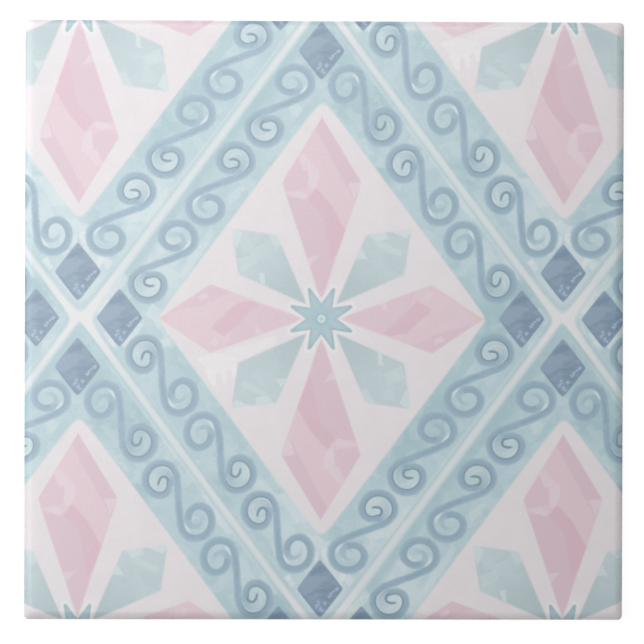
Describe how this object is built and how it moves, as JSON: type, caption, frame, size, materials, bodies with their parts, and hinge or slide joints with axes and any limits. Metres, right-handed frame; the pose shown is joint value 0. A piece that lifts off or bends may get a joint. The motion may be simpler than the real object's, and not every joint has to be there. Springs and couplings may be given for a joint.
{
  "type": "ceramic tile",
  "caption": "Square glazed ceramic wall tile with a printed lozenge and scroll pattern, a softly cushioned edge and a keyed back for adhesive.",
  "frame": {"origin": "centre of the back, on the floor plane that the tile lies on", "axes": "+Z out of the glazed face; +Y towards the top edge of the print as pictured; +X towards its right edge"},
  "size_m": [0.108, 0.108, 0.005],
  "materials": {
    "glazed_ceramic": "satin"
  },
  "bodies": {
    "root": {"tile": "glazed_ceramic"}
  },
  "joints": []
}
